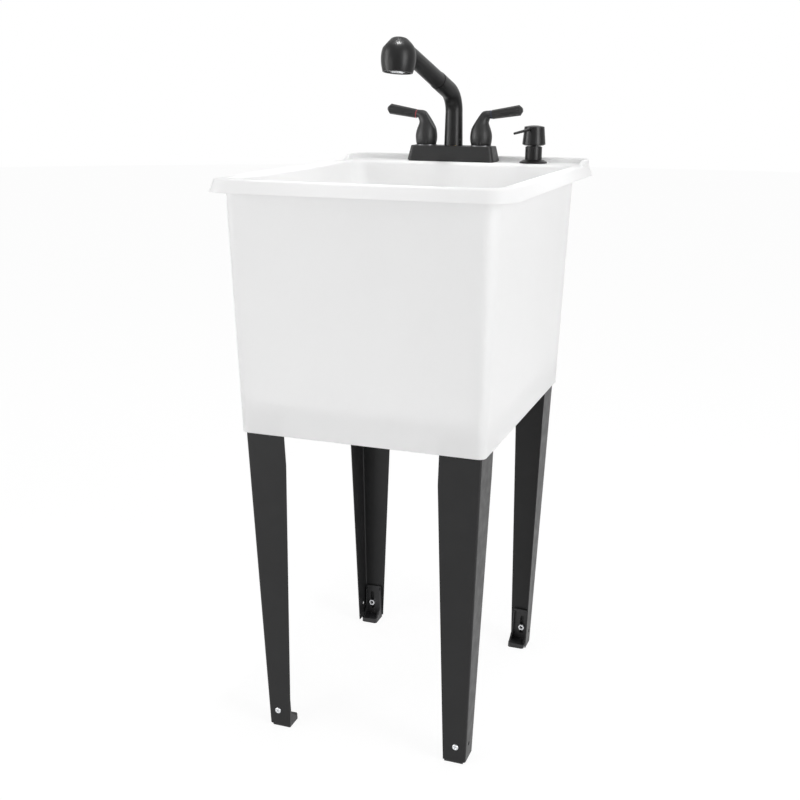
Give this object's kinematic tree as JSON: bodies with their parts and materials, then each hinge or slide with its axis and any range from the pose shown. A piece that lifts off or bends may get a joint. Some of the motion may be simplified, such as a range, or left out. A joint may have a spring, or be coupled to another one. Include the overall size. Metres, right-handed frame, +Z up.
{
  "type": "utility laundry sink",
  "caption": "Free-standing laundry tub on four tapered angle legs with levelling feet, a pull-out faucet with two lever handles and a soap pump.",
  "frame": {"origin": "on the floor under the centre of the rim's footprint", "axes": "+Z up, +X to the user's right, -Y towards the user who stands at the front"},
  "size_m": [0.451, 0.597, 1.0869],
  "materials": {
    "tub_plastic": "moulded white polypropylene, faint grain",
    "leg_paint": "satin black powder coat",
    "foot_plastic": "matte black moulded plastic",
    "zinc": "zinc-plated steel",
    "faucet_black": "satin black coating",
    "soap_black": "satin black coating",
    "button_black": "matte black moulded plastic",
    "ring_red": "red moulded plastic",
    "ring_blue": "very dark blue moulded plastic",
    "bright_ring": "bright plated",
    "brass": "machined brass",
    "rubber": "black rubber",
    "drain_plastic": "white moulded plastic",
    "nut_plastic": "black moulded nylon",
    "bottle_plastic": "milky polyethylene"
  },
  "bodies": {
    "stand": {"tub": "tub_plastic", "leg_front_left": "leg_paint", "leg_front_right": "leg_paint", "leg_rear_left": "leg_paint", "leg_rear_right": "leg_paint", "foot_bolts": "zinc", "foot_nuts": "zinc", "faucet_base": "faucet_black", "faucet_gasket": "rubber", "spout_bush": "brass", "hot_valve": "brass", "cold_valve": "brass", "hot_shank_nut": "nut_plastic", "cold_shank_nut": "nut_plastic", "hot_collar": "bright_ring", "cold_collar": "bright_ring", "soap_flange": "soap_black", "soap_shank": "nut_plastic", "soap_nut": "nut_plastic", "soap_bottle": "bottle_plastic", "pump_cylinder": "bottle_plastic", "pump_cap": "bottle_plastic", "dip_tube": "bottle_plastic", "drain_flange": "drain_plastic", "drain_seal": "rubber", "drain_locknut": "drain_plastic", "tailpiece": "drain_plastic", "slip_nut": "drain_plastic"},
    "spout": {"spout": "faucet_black"},
    "wand": {"wand_handle": "faucet_black", "spray_head": "faucet_black", "spray_plate": "button_black", "aerator": "bright_ring"},
    "spray_button": {"spray_button": "button_black"},
    "hot_handle": {"hot_handle": "faucet_black", "hot_stem": "brass", "hot_ring": "ring_red", "hot_lever": "faucet_black"},
    "cold_handle": {"cold_handle": "faucet_black", "cold_stem": "brass", "cold_ring": "ring_blue", "cold_lever": "faucet_black"},
    "pump_swivel": {"pump_spring": "zinc"},
    "pump_head": {"pump_head": "soap_black", "pump_nozzle": "soap_black", "pump_plunger": "bottle_plastic"},
    "stopper": {"drain_stopper": "rubber"},
    "foot_front_left": {"foot_front_left": "foot_plastic"},
    "foot_front_right": {"foot_front_right": "foot_plastic"},
    "foot_rear_left": {"foot_rear_left": "foot_plastic"},
    "foot_rear_right": {"foot_rear_right": "foot_plastic"}
  },
  "joints": [
    {"name": "spout_swivel", "type": "hinge", "parent": "stand", "child": "spout", "pos_m": [-0.0239, 0.2545, 0.9105], "axis": [0, 0, 1], "range_deg": [-81.7, 98.3]},
    {"name": "wand_pull_out", "type": "slide", "parent": "spout", "child": "wand", "axis": [-0.1351, -0.9263, 0.3518], "range_m": [0, 0.25]},
    {"name": "spray_button_press", "type": "slide", "parent": "wand", "child": "spray_button", "axis": [0.6536, 0.2985, -0.6955], "range_m": [0, 0.002], "stiffness_N_per_m": 900, "springref_m": -0.001},
    {"name": "hot_turn", "type": "hinge", "parent": "stand", "child": "hot_handle", "pos_m": [-0.0747, 0.2545, 0.9105], "axis": [0, 0, 1], "range_deg": [0, 90]},
    {"name": "cold_turn", "type": "hinge", "parent": "stand", "child": "cold_handle", "pos_m": [0.0269, 0.2545, 0.9105], "axis": [0, 0, -1], "range_deg": [0, 90]},
    {"name": "pump_swivel", "type": "hinge", "parent": "stand", "child": "pump_swivel", "pos_m": [0.1225, 0.2545, 0.8835], "axis": [0, 0, 1], "continuous": true},
    {"name": "pump_press", "type": "slide", "parent": "pump_swivel", "child": "pump_head", "axis": [0, 0, -1], "range_m": [0, 0.015], "stiffness_N_per_m": 350, "springref_m": -0.006, "deforming": ["pump_spring"]},
    {"name": "stopper_lift", "type": "slide", "parent": "stand", "child": "stopper", "axis": [0, 0, 1], "range_m": [0, 0.08]},
    {"name": "foot_front_left_level", "type": "slide", "parent": "stand", "child": "foot_front_left", "axis": [0.0364, 0.0364, -0.9987], "range_m": [-0.01, 0.019]},
    {"name": "foot_front_right_level", "type": "slide", "parent": "stand", "child": "foot_front_right", "axis": [-0.0364, 0.0364, -0.9987], "range_m": [-0.01, 0.019]},
    {"name": "foot_rear_left_level", "type": "slide", "parent": "stand", "child": "foot_rear_left", "axis": [0.0364, -0.0364, -0.9987], "range_m": [-0.01, 0.019]},
    {"name": "foot_rear_right_level", "type": "slide", "parent": "stand", "child": "foot_rear_right", "axis": [-0.0364, -0.0364, -0.9987], "range_m": [-0.01, 0.019]}
  ]
}
